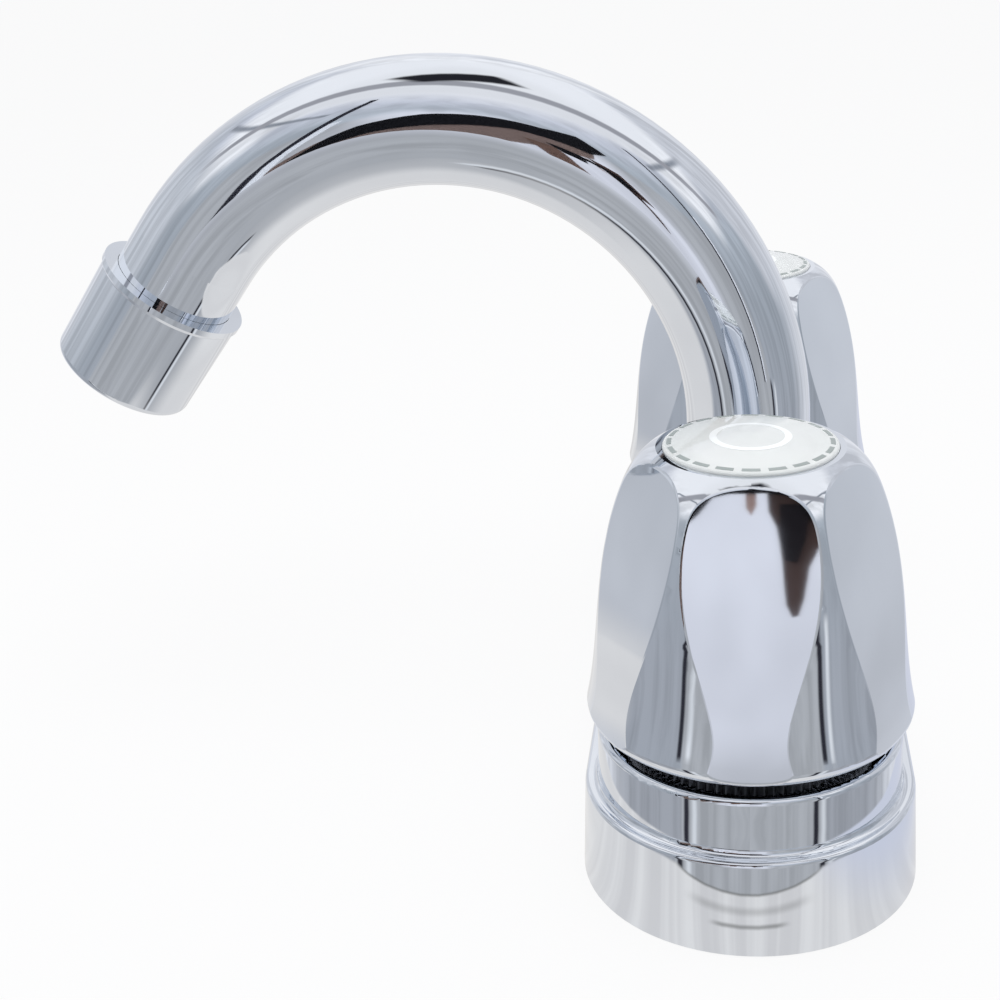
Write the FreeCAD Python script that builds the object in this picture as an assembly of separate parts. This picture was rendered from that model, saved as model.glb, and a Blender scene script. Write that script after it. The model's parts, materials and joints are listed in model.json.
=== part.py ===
import FreeCAD, Part
import math
import os

# Two-handle basin mixer tap on a centreset deck cover, in millimetres.
# X runs along the line of the handles, the cold side at +X. The spout points to -Y and +Z is up.
# The origin is on the spout's axis, in the plane of the deck that the tap is bolted to.

# Driving dimensions

HANDLE_SPACING = 101.6      # between the two valve axes, the 4 inch standard
SWIVEL_FIT = 0.05           # radial clearance of parts that turn in each other
THREAD_FIT = 0.05           # radial clearance of screwed, pressed and soldered parts
SEAT_GAP = 0.05             # between flat faces that slide on each other
SIDE_GAP = 0.3              # between parts that pass each other without touching
CUT = 1.0                   # how far a cutting solid runs past the face that it cuts
SAME = 1e-4                 # heights and points closer than this count as one

# Deck cover
COVER_LIFT = 0.2            # the gasket holds the cover this far off the deck
COVER_WALL = 1.6
SKIRT_RADIUS = 24.5         # at the foot, half of the cover's width
SKIRT_DRAFT = 0.55          # the skirt's radius shrinks by this up to its rounded edge
SKIRT_TOP = 14.5
SKIRT_EDGE = 0.75           # rounding of the skirt's top edge
TURRET_RADIUS = 21.9        # at the rim
TURRET_DRAFT = 0.2
TURRET_TOP = 23.0
TURRET_FLARE = 0.9          # hollow flare at the turret's foot
TURRET_RIM = 1.1            # thickness of the raised rim
TURRET_RECESS = 2.2         # from the rim down to the floor under the cover nut
RIM_ROUNDING = 0.9
BOSS_ROUNDING = 0.45
BRIDGE_TOP = 19.4
BRIDGE_HALF_WIDTH = 20.6
BRIDGE_ROUNDING = 3.4
BOSS_RADIUS = 14.8          # raised ring of the cover round the spout's nipple
BOSS_TOP = 24.0
BOSS_DRAFT = 0.5
JOINT_ROUNDING = 1.6        # where turrets and boss grow out of the bridge

# Base gasket and deck
GASKET_THICKNESS = 2.2
DECK_THICKNESS = 20.0       # the deck that the shanks are long enough for

# Waterway
CASTING_FOOT = 2.8
VALVE_THREAD_RADIUS = 14.0
VALVE_WAIST_RADIUS = 12.6
VALVE_TOP = 27.0
VALVE_THREAD_LENGTH = 9.0
CARTRIDGE_RADIUS = 9.3
SEAT_HEIGHT = 5.0
PORT_RADIUS = 4.8
CROSS_HEIGHT = 10.2
CROSS_RADIUS = 6.2
CROSS_BORE = 4.3
NIPPLE_RADIUS = 12.5
NIPPLE_TOP = 27.0
NIPPLE_FLOOR = 2.0
SHANK_RADIUS = 10.45        # half inch pipe thread
SHANK_BORE = 7.0
SHANK_REACH = 46.0          # how far the shanks reach below the deck
SHANK_SPIGOT = 1.2          # length of the shank's spigot in the casting
SPIGOT_RADIUS = 8.05
SHANK_CHAMFER = 0.8
RELIEF_WIDTH = 1.2          # groove between the mounting thread and the supply thread
RELIEF_DEPTH = 0.5
SUPPLY_THREAD = 10.4        # length of the free end below the relief groove

# Cover nuts
COVER_NUT_RADIUS = 17.6
COVER_NUT_HEIGHT = 5.6
COVER_NUT_TEETH = 40
TOOTH_DEPTH = 0.8
TOOTH_GROOVE = 1.0          # width of the groove that parts the two rows of teeth

# Mounting nuts and washers under the deck
WASHER_RADIUS = 19.0
WASHER_THICKNESS = 1.6
MOUNT_NUT_FLANGE = 16.5
MOUNT_NUT_FLANGE_HEIGHT = 2.6
MOUNT_NUT_HUB = 13.8
MOUNT_NUT_HEIGHT = 11.0
MOUNT_NUT_WINGS = 4
WING_REACH = 18.5
WING_THICKNESS = 3.4

# Ceramic cartridges
CARTRIDGE_GASKET = 0.6
CARTRIDGE_HEX = 22.0        # across flats
CARTRIDGE_HEX_HEIGHT = 5.0
CARTRIDGE_NECK_RADIUS = 7.0
CARTRIDGE_NECK_HEIGHT = 4.0
CHAMBER_RADIUS = 7.55
BARREL_LIFT = 0.6           # the barrel ends this far above the seat, and the seal bridges it
SEAL_THICKNESS = 3.0
DISC_RADIUS = 7.4
DISC_THICKNESS = 2.8
DISC_WINDOW_INNER = 1.6
DISC_WINDOW_OUTER = 5.6
DISC_WINDOW_ANGLE = 78.0
SPINDLE_RADIUS = 4.5
DRIVER_THICKNESS = 2.6
LUG_WIDTH = 3.0
LUG_LENGTH = 1.8
LUG_DEPTH = 1.4
SPLINE_RADIUS = 3.95
SPLINE_DEPTH = 0.4
SPLINE_TEETH = 20
SPLINE_LENGTH = 11.5
CLIP_THICKNESS = 0.7
CLIP_RADIUS = 6.0
CLIP_GROOVE = 3.7
CLIP_MOUTH_ANGLE = 70.0
SPINDLE_RING_SECTION = 0.44
SPINDLE_RING_HEIGHTS = (3.0, 7.0)   # below the hexagon's top

# Handles
HANDLE_GAP = 2.0            # between the turret's rim and the handle's rim
HANDLE_HEIGHT = 40.2
HANDLE_FACETS = 6
HANDLE_WIDEST = 23.3
HANDLE_EDGE = 2.4           # rounding between the handle's rim and its widest circle
HANDLE_MIDDLE_RADIUS = 21.1
HANDLE_MIDDLE_HEIGHT = 20.0
HANDLE_NECK_RADIUS = 18.1
HANDLE_NECK_DROP = 6.6      # below the handle's crown
HANDLE_SHOULDER_RADIUS = 16.4
HANDLE_SHOULDER_DROP = 3.0
HANDLE_CROWN_RADIUS = 12.9
FACET_DISTANCE = 13.9       # from the axis to a facet, at the handle's top
FACET_TAPER = 18.4          # lean of a facet towards the axis in degrees, at the handle's top
FACET_CROWN = 205.0         # a facet bulges with this radius, so it stands steeper lower down
FACET_ROUNDING = 0.8
HANDLE_WALL = 1.7
HANDLE_ROOF = 26.5          # height of the hollow above the rim
HUB_RADIUS = 7.2
HUB_RIBS = 6
HUB_RIB_THICKNESS = 1.4
HUB_RIB_DEPTH = 9.0
WEB_THICKNESS = 3.8
SCREW_RADIUS = 2.0
SCREW_LENGTH = 11.0
SCREW_HEAD_RADIUS = 3.8
SCREW_HEAD_HEIGHT = 2.5
SCREW_SLOT = 1.1
BUTTON_RADIUS = 12.0
BUTTON_FLANGE = 2.6         # depth of the pocket for the button's flange
BUTTON_RISE = 0.5           # of the button's rim above the handle's crown
BUTTON_DOME = 1.0           # rise of the dome above its rim
BUTTON_EDGE = 0.5
BUTTON_SKIRT_RADIUS = 8.8
BUTTON_SKIRT_WALL = 1.2
BUTTON_SKIRT_DEPTH = 4.6
BUTTON_RING_RADIUS = 5.6
BUTTON_RING_WALL = 0.8
BUTTON_RING_DEPTH = 1.2
BUTTON_NOTCHES = 12         # short arcs sunk in the underside, near the rim
BUTTON_NOTCH_INNER = 10.0
BUTTON_NOTCH_OUTER = 10.7
BUTTON_NOTCH_ANGLE = 18.0
BUTTON_NOTCH_DEPTH = 0.6

# Spout
TUBE_RADIUS = 10.25
TUBE_WALL = 1.0
BEND_RADIUS = 50.5
BEND_HEIGHT = 51.5          # height of the bend's centre above the deck
BEND_ANGLE = 144.0
TUBE_RUN = 7.4              # straight tube between the bend and the aerator housing
TUBE_TIP = 9.0              # straight end inside the aerator housing
FOOT_FLANGE_RADIUS = 11.6
FOOT_FLANGE_HEIGHT = 2.2
FOOT_RADIUS = 8.5
FOOT_DEPTH = 11.0
FOOT_SPIGOT = 8.0
FOOT_BORE = 6.0
SPOUT_RING_SECTION = 0.45
SPOUT_RING_HEIGHTS = (3.6, 7.6)     # below the nipple's top
SPOUT_NUT_RADIUS = 14.8
SPOUT_NUT_SKIRT = 2.6       # how far the nut reaches down over the nipple's thread
SPOUT_NUT_LIP = 1.7
SPOUT_NUT_BROW = 1.2        # roundness of the nut's top edge
SPOUT_NUT_LAND = 0.6        # width of the flat rim round the tube
SLIP_RING_HEIGHT = 0.8

# Aerator
HOUSING_LIP_RADIUS = 12.6
HOUSING_LIP = 1.0
HOUSING_LIP_SLOPE = 0.6     # length of the cone under the lip
HOUSING_TOP_RADIUS = 12.2
HOUSING_END_RADIUS = 11.9
HOUSING_LENGTH = 18.8
HOUSING_EDGE = 1.2
HOUSING_MOUTH = 8.8
HOUSING_FLANGE = 1.5
AERATOR_WASHER = 1.4
WASHER_BORE = 7.25
INSERT_RADIUS = 9.9
INSERT_WALL = 1.2
INSERT_HOLES = 6
INSERT_HOLE_RADIUS = 1.1
VANE_THICKNESS = 0.8
SCREEN_THICKNESS = 0.5
SCREEN_RINGS = 3            # rings of holes, each with six more than the one inside it
SCREEN_PITCH = 2.6
SCREEN_HOLE_RADIUS = 0.8

# Heights and places that follow from the driving dimensions

VALVE_X = HANDLE_SPACING / 2
COVER_SPLIT = SKIRT_TOP - COVER_WALL - CUT
TURRET_FLOOR = TURRET_TOP - TURRET_RECESS
HEX_FOOT = VALVE_TOP + CARTRIDGE_GASKET
HEX_TOP = HEX_FOOT + CARTRIDGE_HEX_HEIGHT
NECK_TOP = HEX_TOP + CARTRIDGE_NECK_HEIGHT
BARREL_FOOT = SEAT_HEIGHT + BARREL_LIFT
FIXED_DISC_FOOT = SEAT_HEIGHT + SEAL_THICKNESS
MOVING_DISC_FOOT = FIXED_DISC_FOOT + DISC_THICKNESS + SEAT_GAP
DRIVER_FOOT = MOVING_DISC_FOOT + DISC_THICKNESS + SEAT_GAP
CHAMBER_TOP = DRIVER_FOOT + DRIVER_THICKNESS + SEAT_GAP
CLIP_FOOT = NECK_TOP + SEAT_GAP
SPLINE_FOOT = CLIP_FOOT + CLIP_THICKNESS + 2 * SIDE_GAP
SPINDLE_TOP = SPLINE_FOOT + SPLINE_LENGTH
HANDLE_RIM = TURRET_TOP + HANDLE_GAP
HANDLE_TOP = HANDLE_RIM + HANDLE_HEIGHT
WEB_FOOT = SPINDLE_TOP + SIDE_GAP
WEB_TOP = WEB_FOOT + WEB_THICKNESS
HUB_FOOT = SPLINE_FOOT + SIDE_GAP
BUTTON_SEAT = HANDLE_TOP - BUTTON_FLANGE
WASHER_TOP = -DECK_THICKNESS
MOUNT_NUT_TOP = WASHER_TOP - WASHER_THICKNESS
SUPPLY_TOP = -SHANK_REACH + SUPPLY_THREAD
FLANGE_FOOT = NIPPLE_TOP + SEAT_GAP
TUBE_FOOT = FLANGE_FOOT + FOOT_FLANGE_HEIGHT
NUT_SHOULDER = TUBE_FOOT + SLIP_RING_HEIGHT + SEAT_GAP


def vec(x, y, z):
    return FreeCAD.Vector(x, y, z)


UP = vec(0, 0, 1)
ORIGIN = vec(0, 0, 0)


def outline(start, *steps):
    """Closed face in the XZ plane. A step is a corner (x, z), or a point on an arc and the arc's end."""
    edges = []
    here = vec(start[0], 0, start[1])
    for step in steps + (start,):
        if isinstance(step[0], tuple):
            middle, end = [vec(x, 0, z) for x, z in step]
            edges.append(Part.Arc(here, middle, end).toShape())
        else:
            end = vec(step[0], 0, step[1])
            if end.distanceToPoint(here) > SAME:
                edges.append(Part.makeLine(here, end))
        here = end
    return Part.Face(Part.Wire(edges))


def dome(radius, foot, rise):
    """Arc from a circle's edge up to the axis, where it runs level."""
    ball = (radius ** 2 + rise ** 2) / (2 * rise)
    half = math.asin(radius / ball) / 2
    return (ball * math.sin(half), foot + rise - ball * (1 - math.cos(half))), (0, foot + rise)


def turned(start, *steps):
    """Solid of revolution about Z."""
    return outline(start, *steps).revolve(ORIGIN, UP, 360)


def cylinder(radius, low, high):
    return Part.makeCylinder(radius, high - low, vec(0, 0, low))


def tube(radius, bore, low, high):
    return cylinder(radius, low, high).cut(cylinder(bore, low - CUT, high + CUT))


def prism(points, low, high):
    """Upright prism over a polygon."""
    corners = [vec(x, y, low) for x, y in points]
    return Part.Face(Part.makePolygon(corners + corners[:1])).extrude(vec(0, 0, high - low))


def polar(radius, degrees):
    angle = math.radians(degrees)
    return radius * math.cos(angle), radius * math.sin(angle)


def star(outer, inner, teeth, low, high):
    """Toothed prism, its tips on the outer radius."""
    step = 180.0 / teeth
    points = [polar(inner if i % 2 else outer, i * step) for i in range(2 * teeth)]
    return prism(points, low, high)


def hexagon(across_flats, low, high):
    corner = across_flats / math.sqrt(3)
    return prism([polar(corner, 30 + 60 * i) for i in range(6)], low, high)


def obround(start, *steps):
    """Solid with the cover's plan: its profile is turned round each end and runs straight between them."""
    profile = turned_about_z(outline(start, *steps), -90)
    end = moved(profile, VALVE_X).revolve(vec(VALVE_X, 0, 0), UP, 180)
    side = moved(profile, -VALVE_X).extrude(vec(HANDLE_SPACING, 0, 0))
    return fused([end, side, turned_about_z(end, 180), turned_about_z(side, 180)])


def fused(shapes):
    whole = shapes[0].multiFuse(shapes[1:])
    return whole.removeSplitter()


def moved(shape, x, y=0.0, z=0.0):
    copy = shape.copy()
    copy.translate(vec(x, y, z))
    return copy


def both(shape):
    """The same piece on the hot and on the cold side."""
    return [moved(shape, -VALVE_X), moved(shape, VALVE_X)]


def turned_about_z(shape, degrees):
    copy = shape.copy()
    copy.rotate(ORIGIN, UP, degrees)
    return copy


def ring_seal(radius, section, height):
    """Round-section rubber ring."""
    return Part.makeTorus(radius, section, vec(0, 0, height), UP)


# Deck cover

def tower(rim_radius, foot_radius, top, seam=0):
    """Tapering round tower of the cover, from inside the skirt up. The seam direction is in degrees."""
    solid = turned((0, COVER_SPLIT), (foot_radius, COVER_SPLIT), (rim_radius, top), (0, top))
    return turned_about_z(solid, seam)


def towers(inset, turret_top, boss_top):
    """The two turrets, their seams turned away from the bridge, and the boss round the spout's nipple."""
    rim = TURRET_RADIUS - inset
    hot = tower(rim, rim + TURRET_DRAFT, turret_top, 180)
    cold = tower(rim, rim + TURRET_DRAFT, turret_top)
    boss_rim = BOSS_RADIUS - inset
    boss = tower(boss_rim, boss_rim + BOSS_DRAFT, boss_top, 90)
    return [moved(hot, -VALVE_X), moved(cold, VALVE_X), boss]


def bridge(inset):
    """Long body between the turrets, with rounded edges."""
    side = BRIDGE_HALF_WIDTH - inset
    top = BRIDGE_TOP - inset
    block = Part.makeBox(HANDLE_SPACING, 2 * side, top - COVER_SPLIT, vec(-VALVE_X, -side, COVER_SPLIT))
    long_edges = [e for e in level_edges(block, top) if e.BoundBox.XLength > e.BoundBox.YLength]
    return block.makeFillet(BRIDGE_ROUNDING - inset, long_edges)


def level_edges(shape, height):
    """Edges that lie level at one height."""
    boxes = [(edge, edge.BoundBox) for edge in shape.Edges]
    return [edge for edge, box in boxes if max(abs(box.ZMin - height), abs(box.ZMax - height)) < SAME]


def joint_edges(shape):
    """Edges where the towers grow out of the bridge's top, rounded edges and sides."""
    found = []
    for edge in shape.Edges:
        box = edge.BoundBox
        below_rim = box.ZMax < BRIDGE_TOP + SEAT_GAP
        if below_rim and box.ZMax > COVER_SPLIT + SEAT_GAP and edge.Curve.TypeId != "Part::GeomLine":
            found.append(edge)
    return found


def foot_flare():
    """Hollow rounding between a turret's wall and the top of the skirt."""
    foot = TURRET_RADIUS + TURRET_DRAFT
    hollow = TURRET_FLARE * (1 - math.sqrt(0.5))
    return turned((0, COVER_SPLIT), (foot + TURRET_FLARE, COVER_SPLIT), (foot + TURRET_FLARE, SKIRT_TOP),
                  ((foot + hollow, SKIRT_TOP + hollow), (foot, SKIRT_TOP + TURRET_FLARE)),
                  (0, SKIRT_TOP + TURRET_FLARE))


def skirt():
    """Foot of the cover, with a little draft and a rounded top edge."""
    shoulder = SKIRT_RADIUS - SKIRT_DRAFT
    edge = SKIRT_EDGE
    bend = edge * (1 - math.sqrt(0.5))
    return obround((0, COVER_LIFT), (SKIRT_RADIUS, COVER_LIFT), (shoulder, SKIRT_TOP - edge),
                   ((shoulder - bend, SKIRT_TOP - bend), (shoulder - edge, SKIRT_TOP)), (0, SKIRT_TOP))


def deck_cover():
    top = fused([bridge(0)] + towers(0, TURRET_TOP, BOSS_TOP)).Solids[0]
    top = top.makeFillet(JOINT_ROUNDING, joint_edges(top))
    top = top.makeFillet(RIM_ROUNDING, level_edges(top, TURRET_TOP))
    top = top.makeFillet(BOSS_ROUNDING, level_edges(top, BOSS_TOP))
    outside = fused([skirt(), top] + both(foot_flare()))

    hollow_top = SKIRT_TOP - COVER_WALL
    inner = SKIRT_RADIUS - COVER_WALL
    hollow = [obround((0, COVER_LIFT - CUT), (inner, COVER_LIFT - CUT),
                      (inner - SKIRT_DRAFT, hollow_top), (0, hollow_top))]
    hollow.append(bridge(COVER_WALL))
    hollow += towers(COVER_WALL, TURRET_FLOOR - COVER_WALL, BOSS_TOP - COVER_WALL)
    cover = outside.cut(fused(hollow))

    recess = cylinder(TURRET_RADIUS - TURRET_RIM, TURRET_FLOOR, TURRET_TOP + CUT)
    valve_hole = cylinder(VALVE_THREAD_RADIUS + SIDE_GAP, hollow_top, TURRET_TOP)
    nipple_hole = cylinder(NIPPLE_RADIUS + SIDE_GAP, hollow_top, BOSS_TOP + CUT)
    return cover.cut(fused(both(recess.fuse(valve_hole)) + [nipple_hole]))


def base_gasket():
    outside = SKIRT_RADIUS - COVER_WALL - SIDE_GAP
    plate = obround((0, 0), (outside, 0), (outside, GASKET_THICKNESS), (0, GASKET_THICKNESS))
    holes = both(cylinder(SHANK_RADIUS + SIDE_GAP, -CUT, GASKET_THICKNESS + CUT))
    return plate.cut(fused(holes))


def cover_nut():
    """Toothed lock nut that holds the cover down on the valve body."""
    low = TURRET_FLOOR
    high = TURRET_FLOOR + COVER_NUT_HEIGHT
    middle = (low + high) / 2
    root = COVER_NUT_RADIUS - TOOTH_DEPTH
    nut = star(COVER_NUT_RADIUS, root, COVER_NUT_TEETH, low, high)
    nut = nut.cut(tube(COVER_NUT_RADIUS + CUT, root, middle - TOOTH_GROOVE / 2, middle + TOOTH_GROOVE / 2))
    return nut.cut(cylinder(VALVE_THREAD_RADIUS + THREAD_FIT, low - CUT, high + CUT))


# Waterway

def valve_body():
    thread_foot = VALVE_TOP - VALVE_THREAD_LENGTH
    step = VALVE_THREAD_RADIUS - VALVE_WAIST_RADIUS
    return turned((0, CASTING_FOOT), (VALVE_WAIST_RADIUS, CASTING_FOOT),
                  (VALVE_WAIST_RADIUS, thread_foot - step), (VALVE_THREAD_RADIUS, thread_foot),
                  (VALVE_THREAD_RADIUS, VALVE_TOP), (0, VALVE_TOP))


def valve_passages():
    bore = cylinder(CARTRIDGE_RADIUS + THREAD_FIT, SEAT_HEIGHT, VALVE_TOP + CUT)
    port = cylinder(PORT_RADIUS, CASTING_FOOT - CUT, SEAT_HEIGHT + CUT)
    socket = cylinder(SPIGOT_RADIUS + THREAD_FIT, CASTING_FOOT - CUT, CASTING_FOOT + SHANK_SPIGOT)
    return fused([bore, port, socket])


def cross_pipe(radius):
    return Part.makeCylinder(radius, HANDLE_SPACING, vec(-VALVE_X, 0, CROSS_HEIGHT), vec(1, 0, 0))


def waterway_body():
    nipple = cylinder(NIPPLE_RADIUS, CASTING_FOOT, NIPPLE_TOP)
    casting = fused([nipple, cross_pipe(CROSS_RADIUS)] + both(valve_body()))
    nipple_bore = cylinder(FOOT_RADIUS + SWIVEL_FIT, CASTING_FOOT + NIPPLE_FLOOR, NIPPLE_TOP + CUT)
    return casting.cut(fused([nipple_bore, cross_pipe(CROSS_BORE)] + both(valve_passages())))


def inlet_shank():
    groove_top = SUPPLY_TOP + RELIEF_WIDTH
    groove_radius = SHANK_RADIUS - RELIEF_DEPTH
    end = -SHANK_REACH
    shank = turned((0, end), (SHANK_RADIUS - SHANK_CHAMFER, end), (SHANK_RADIUS, end + SHANK_CHAMFER),
                   (SHANK_RADIUS, SUPPLY_TOP), (groove_radius, SUPPLY_TOP), (groove_radius, groove_top),
                   (SHANK_RADIUS, groove_top), (SHANK_RADIUS, CASTING_FOOT), (SPIGOT_RADIUS, CASTING_FOOT),
                   (SPIGOT_RADIUS, CASTING_FOOT + SHANK_SPIGOT), (0, CASTING_FOOT + SHANK_SPIGOT))
    return shank.cut(cylinder(SHANK_BORE, end - CUT, CASTING_FOOT + SHANK_SPIGOT + CUT))


def mounting_washer():
    return tube(WASHER_RADIUS, SHANK_RADIUS + SIDE_GAP, WASHER_TOP - WASHER_THICKNESS, WASHER_TOP)


def mounting_nut():
    """Winged lock nut, tightened by hand under the deck."""
    low = MOUNT_NUT_TOP - MOUNT_NUT_HEIGHT
    flange = cylinder(MOUNT_NUT_FLANGE, MOUNT_NUT_TOP - MOUNT_NUT_FLANGE_HEIGHT, MOUNT_NUT_TOP)
    solids = [flange, cylinder(MOUNT_NUT_HUB, low, MOUNT_NUT_TOP)]
    wing = Part.makeBox(WING_REACH, WING_THICKNESS, MOUNT_NUT_HEIGHT, vec(0, -WING_THICKNESS / 2, low))
    for i in range(MOUNT_NUT_WINGS):
        solids.append(turned_about_z(wing, 360 * (i + 0.5) / MOUNT_NUT_WINGS))
    bore = cylinder(SHANK_RADIUS + THREAD_FIT, low - CUT, MOUNT_NUT_TOP + CUT)
    return fused(solids).cut(bore)


# Cartridges

def sector(inner, outer, angle, low, high):
    """Ring sector centred on the X axis."""
    steps = [polar(outer, angle * (i - 1) / 2) for i in range(3)]
    back = [polar(inner, angle * (1 - i) / 2) for i in range(3)]
    outer_arc = [vec(x, y, low) for x, y in steps]
    inner_arc = [vec(x, y, low) for x, y in back]
    edges = [Part.Arc(*outer_arc).toShape(), Part.makeLine(outer_arc[2], inner_arc[0])]
    edges += [Part.Arc(*inner_arc).toShape(), Part.makeLine(inner_arc[2], outer_arc[0])]
    return Part.Face(Part.Wire(edges)).extrude(vec(0, 0, high - low))


def ceramic_disc(low, window_direction):
    """Valve disc with two windows on opposite sides."""
    high = low + DISC_THICKNESS
    disc = cylinder(DISC_RADIUS, low, high)
    window = sector(DISC_WINDOW_INNER, DISC_WINDOW_OUTER, DISC_WINDOW_ANGLE, low - CUT, high + CUT)
    windows = [turned_about_z(window, window_direction), turned_about_z(window, window_direction + 180)]
    return disc.cut(fused(windows))


def cartridge_body():
    barrel = cylinder(CARTRIDGE_RADIUS, BARREL_FOOT, HEX_FOOT + CUT)
    neck = cylinder(CARTRIDGE_NECK_RADIUS, HEX_TOP - CUT, NECK_TOP)
    solid = fused([barrel, hexagon(CARTRIDGE_HEX, HEX_FOOT, HEX_TOP), neck])
    chamber = cylinder(CHAMBER_RADIUS, BARREL_FOOT - CUT, CHAMBER_TOP)
    bore = cylinder(SPINDLE_RADIUS + SWIVEL_FIT, BARREL_FOOT - CUT, NECK_TOP + CUT)
    outlet = Part.makeBox(4 * CARTRIDGE_RADIUS, CARTRIDGE_RADIUS, CHAMBER_TOP - MOVING_DISC_FOOT,
                          vec(-2 * CARTRIDGE_RADIUS, -CARTRIDGE_RADIUS / 2, MOVING_DISC_FOOT))
    return solid.cut(fused([chamber, bore, outlet]))


def cartridge_gasket():
    return tube(CARTRIDGE_HEX / 2, CARTRIDGE_RADIUS + SIDE_GAP, VALVE_TOP, HEX_FOOT)


def seat_seal():
    return tube(DISC_RADIUS, PORT_RADIUS, SEAT_HEIGHT, FIXED_DISC_FOOT)


def lugs(clearance, low, high):
    """Two blocks on the spindle's foot that drive the moving disc."""
    width = LUG_WIDTH + 2 * clearance
    inner = DISC_RADIUS - LUG_LENGTH - clearance
    block = Part.makeBox(width, LUG_LENGTH + 2 * clearance, high - low, vec(-width / 2, inner, low))
    pair = fused([block, turned_about_z(block, 180)])
    limit = DISC_RADIUS if clearance == 0 else DISC_RADIUS + CUT
    return pair.common(cylinder(limit, low, high))


def moving_disc():
    """The upper disc, closed at rest: its windows stand across those of the fixed disc."""
    top = MOVING_DISC_FOOT + DISC_THICKNESS
    disc = ceramic_disc(MOVING_DISC_FOOT, 0)
    return disc.cut(lugs(THREAD_FIT, top - LUG_DEPTH - THREAD_FIT, top + CUT))


def spindle_ring_heights():
    return [HEX_TOP - drop for drop in SPINDLE_RING_HEIGHTS]


def groove_cutter(shaft_radius, section, height):
    floor = shaft_radius - 2 * section
    half = section + THREAD_FIT
    return tube(shaft_radius + CUT, floor, height - half, height + half)


def spindle():
    driver = cylinder(DISC_RADIUS, DRIVER_FOOT, DRIVER_FOOT + DRIVER_THICKNESS)
    shaft = cylinder(SPINDLE_RADIUS, DRIVER_FOOT, SPLINE_FOOT)
    spline = star(SPLINE_RADIUS, SPLINE_RADIUS - SPLINE_DEPTH, SPLINE_TEETH, SPLINE_FOOT - CUT, SPINDLE_TOP)
    drive = lugs(0, MOVING_DISC_FOOT + DISC_THICKNESS - LUG_DEPTH, DRIVER_FOOT + CUT)
    solid = fused([driver, shaft, spline, drive])
    cuts = [groove_cutter(SPINDLE_RADIUS, SPINDLE_RING_SECTION, z) for z in spindle_ring_heights()]
    clip_top = CLIP_FOOT + CLIP_THICKNESS
    cuts.append(tube(SPINDLE_RADIUS + CUT, CLIP_GROOVE, CLIP_FOOT - SEAT_GAP, clip_top + SEAT_GAP))
    cuts.append(cylinder(SCREW_RADIUS + THREAD_FIT, WEB_TOP - SCREW_LENGTH - CUT, SPINDLE_TOP + CUT))
    return solid.cut(Part.makeCompound(cuts))


def spindle_rings():
    radius = SPINDLE_RADIUS - SPINDLE_RING_SECTION
    return [ring_seal(radius, SPINDLE_RING_SECTION, z) for z in spindle_ring_heights()]


def retaining_clip():
    """Open spring ring in the spindle's groove."""
    top = CLIP_FOOT + CLIP_THICKNESS
    ring = tube(CLIP_RADIUS, CLIP_GROOVE + THREAD_FIT, CLIP_FOOT, top)
    reach = 2 * CLIP_RADIUS
    mouth = prism([(0, 0), polar(reach, -CLIP_MOUTH_ANGLE / 2), polar(reach, CLIP_MOUTH_ANGLE / 2)],
                  CLIP_FOOT - CUT, top + CUT)
    return ring.cut(mouth)


# Handles

def handle_blank():
    """Turned outer form: rounded rim, bellied flank and sloping crown."""
    rim = HANDLE_WIDEST - HANDLE_EDGE
    knee = HANDLE_EDGE * math.sqrt(0.5)
    widest = HANDLE_RIM + HANDLE_EDGE
    flank_points = [(HANDLE_WIDEST, HANDLE_EDGE), (HANDLE_MIDDLE_RADIUS, HANDLE_MIDDLE_HEIGHT),
                    (HANDLE_NECK_RADIUS, HANDLE_HEIGHT - HANDLE_NECK_DROP),
                    (HANDLE_SHOULDER_RADIUS, HANDLE_HEIGHT - HANDLE_SHOULDER_DROP),
                    (HANDLE_CROWN_RADIUS, HANDLE_HEIGHT)]
    flank = Part.BSplineCurve()
    flank.interpolate([vec(r, 0, HANDLE_RIM + h) for r, h in flank_points])
    corner = [vec(rim, 0, HANDLE_RIM), vec(rim + knee, 0, widest - knee), vec(HANDLE_WIDEST, 0, widest)]
    edges = [Part.makeLine(vec(0, 0, HANDLE_RIM), corner[0]), Part.Arc(*corner).toShape(), flank.toShape()]
    edges.append(Part.makeLine(vec(HANDLE_CROWN_RADIUS, 0, HANDLE_TOP), vec(0, 0, HANDLE_TOP)))
    edges.append(Part.makeLine(vec(0, 0, HANDLE_TOP), vec(0, 0, HANDLE_RIM)))
    return Part.Face(Part.Wire(edges)).revolve(ORIGIN, UP, 360)


def facet_cutters():
    """Blocks outside the facets, one of them facing +X. Each ends on a wide crowned face that leans in."""
    reach = 2 * HANDLE_HEIGHT
    block = Part.makeBox(2 * reach, reach, 2 * reach, vec(0, -reach / 2, HANDLE_TOP - 2 * reach + CUT))
    across, up = polar(FACET_CROWN, FACET_TAPER)
    centre = vec(FACET_DISTANCE - across, -reach, HANDLE_TOP - up)
    crown = Part.makeCylinder(FACET_CROWN, 2 * reach, centre, vec(0, 1, 0))
    cutter = block.cut(crown)
    return [turned_about_z(cutter, 360.0 * i / HANDLE_FACETS) for i in range(HANDLE_FACETS)]


def facet_edges(shape):
    """Edges between a facet and the turned surface."""
    facets = [face for face in shape.Faces if face.Surface.TypeId == "Part::GeomCylinder"]
    return [edge for face in facets for edge in face.Edges]


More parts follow.
